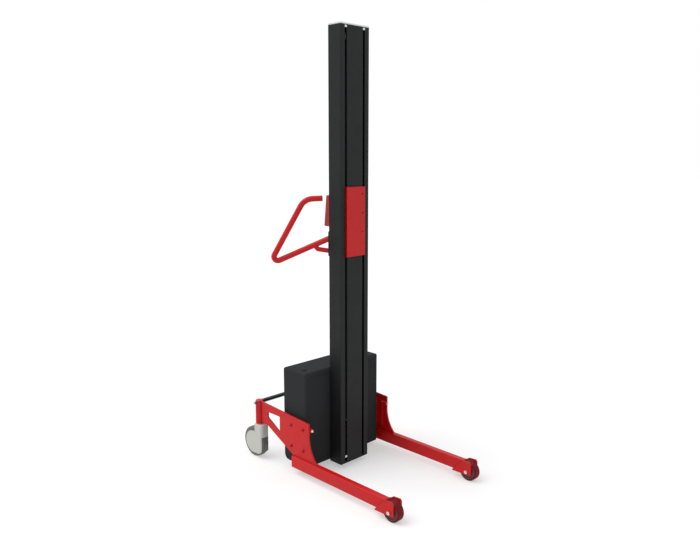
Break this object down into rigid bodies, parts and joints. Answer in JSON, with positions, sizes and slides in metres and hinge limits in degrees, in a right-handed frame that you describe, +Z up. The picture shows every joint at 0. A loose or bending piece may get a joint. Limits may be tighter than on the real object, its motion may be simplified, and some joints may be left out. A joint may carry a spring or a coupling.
{
  "type": "mini stacker",
  "caption": "Compact walk-behind lift: slotted mast with sliding carriage, two straddle legs on small wheels, rear swivel casters, drive housing and looped push handles.",
  "frame": {"origin": "on the floor, under the middle of the bounding box", "axes": "+Z up, -Y forward along the legs, +X to the left of someone who stands at the handles and faces forward"},
  "size_m": [0.496, 0.86, 1.705],
  "materials": {
    "black_profile": "semi-gloss black coating",
    "black_paint": "semi-gloss black powder coat",
    "red_paint": "semi-gloss red powder coat",
    "red_plastic": "satin red",
    "plate_grey": "satin",
    "zinc": "bright zinc",
    "screw_red": "dark red over steel",
    "screw_black": "black oxide",
    "slider_steel": "machined",
    "nylon": "natural nylon",
    "strap_web": "woven webbing",
    "drive_cast": "cast",
    "battery_case": "moulded case",
    "caster_grey": "moulded, satin",
    "hub_grey": "moulded",
    "hub_brown": "moulded, dark brown grey",
    "tyre_grey": "matt grey rubber",
    "tread_burgundy": "cast polyurethane",
    "black_plastic": "moulded",
    "plug_red": "moulded, very dark red",
    "button_green": "moulded",
    "button_red": "moulded"
  },
  "bodies": {
    "chassis": {"battery": "battery_case", "caster_socket_left": "red_paint", "caster_socket_right": "red_paint", "charge_inlet": "black_plastic", "chassis_frame": "slider_steel", "control_box": "red_plastic", "controller": "drive_cast", "cover_screws": "screw_black", "drive_motor": "drive_cast", "front_axles": "zinc", "gearbox": "drive_cast", "handle_left": "red_paint", "handle_plate": "black_paint", "handle_plugs": "plug_red", "handle_right": "red_paint", "handle_screws": "zinc", "handle_stays": "red_paint", "housing_cover": "black_paint", "housing_front": "black_paint", "leg_left": "red_paint", "leg_right": "red_paint", "lifting_strap": "strap_web", "lug_screws": "zinc", "mast": "black_profile", "mast_cover_strip": "black_profile", "mast_foot_plate": "black_profile", "mast_top_plate": "plate_grey", "mounting_blocks": "red_paint", "plate_screws": "screw_red", "sheave_axle": "zinc", "sheave_bracket": "zinc", "side_plate_left": "red_paint", "side_plate_right": "red_paint", "slot_stops": "zinc", "swivel_bushes": "nylon", "wheel_fork_left": "red_paint", "wheel_fork_right": "red_paint"},
    "carriage": {"carriage_plate": "red_paint", "carriage_slider": "slider_steel", "guide_shoes": "nylon", "strap_clamp": "slider_steel"},
    "drum": {"hoist_drum": "slider_steel"},
    "sheave": {"top_sheave": "slider_steel"},
    "caster_left": {"caster_fork_left": "caster_grey", "caster_axle_left": "zinc"},
    "caster_wheel_left": {"caster_tyre_left": "tyre_grey", "caster_hub_left": "hub_grey"},
    "front_wheel_left": {"front_tread_left": "tread_burgundy", "front_hub_left": "hub_brown"},
    "caster_right": {"caster_fork_right": "caster_grey", "caster_axle_right": "zinc"},
    "caster_wheel_right": {"caster_tyre_right": "tyre_grey", "caster_hub_right": "hub_grey"},
    "front_wheel_right": {"front_tread_right": "tread_burgundy", "front_hub_right": "hub_brown"},
    "lock": {"lock_bar": "black_paint", "lock_pedal": "black_paint"},
    "up": {"up_button": "button_green"},
    "down": {"down_button": "button_green"},
    "stop": {"emergency_stop": "button_red"}
  },
  "joints": [
    {"name": "lift", "type": "slide", "parent": "chassis", "child": "carriage", "axis": [0, 0, 1], "range_m": [-0.785, 0.56]},
    {"name": "drum_turn", "type": "hinge", "parent": "chassis", "child": "drum", "pos_m": [0, 0.0925, 0.175], "axis": [1, 0, 0], "range_deg": [-1885, 1345]},
    {"name": "sheave_turn", "type": "hinge", "parent": "chassis", "child": "sheave", "pos_m": [0, 0.0525, 1.663], "axis": [1, 0, 0], "range_deg": [-2015, 2820]},
    {"name": "lock_bar_turn", "type": "hinge", "parent": "chassis", "child": "lock", "pos_m": [0, 0.3435, 0.236], "axis": [1, 0, 0], "range_deg": [-18, 18]},
    {"name": "caster_swivel_left", "type": "hinge", "parent": "chassis", "child": "caster_left", "pos_m": [0.22, 0.3435, 0.185], "axis": [0, 0, 1], "continuous": true},
    {"name": "caster_roll_left", "type": "hinge", "parent": "caster_left", "child": "caster_wheel_left", "pos_m": [0.22, 0.3675, 0.0625], "axis": [1, 0, 0], "continuous": true},
    {"name": "front_roll_left", "type": "hinge", "parent": "chassis", "child": "front_wheel_left", "pos_m": [0.22, -0.3925, 0.0375], "axis": [1, 0, 0], "continuous": true},
    {"name": "caster_swivel_right", "type": "hinge", "parent": "chassis", "child": "caster_right", "pos_m": [-0.22, 0.3435, 0.185], "axis": [0, 0, 1], "continuous": true},
    {"name": "caster_roll_right", "type": "hinge", "parent": "caster_right", "child": "caster_wheel_right", "pos_m": [-0.22, 0.3675, 0.0625], "axis": [1, 0, 0], "continuous": true},
    {"name": "front_roll_right", "type": "hinge", "parent": "chassis", "child": "front_wheel_right", "pos_m": [-0.22, -0.3925, 0.0375], "axis": [1, 0, 0], "continuous": true},
    {"name": "up_press", "type": "slide", "parent": "chassis", "child": "up", "axis": [0, -0.9951, -0.0987], "range_m": [0, 0.003], "stiffness_N_per_m": 600, "springref_m": -0.001},
    {"name": "down_press", "type": "slide", "parent": "chassis", "child": "down", "axis": [0, -0.9951, -0.0987], "range_m": [0, 0.003], "stiffness_N_per_m": 600, "springref_m": -0.001},
    {"name": "stop_press", "type": "slide", "parent": "chassis", "child": "stop", "axis": [0, -0.9951, -0.0987], "range_m": [0, 0.004], "stiffness_N_per_m": 900, "springref_m": -0.001}
  ],
  "couplings": [
    {"joint": "drum_turn", "follows": "lift", "rad_per_m": 41.667},
    {"joint": "sheave_turn", "follows": "lift", "rad_per_m": -62.5}
  ]
}
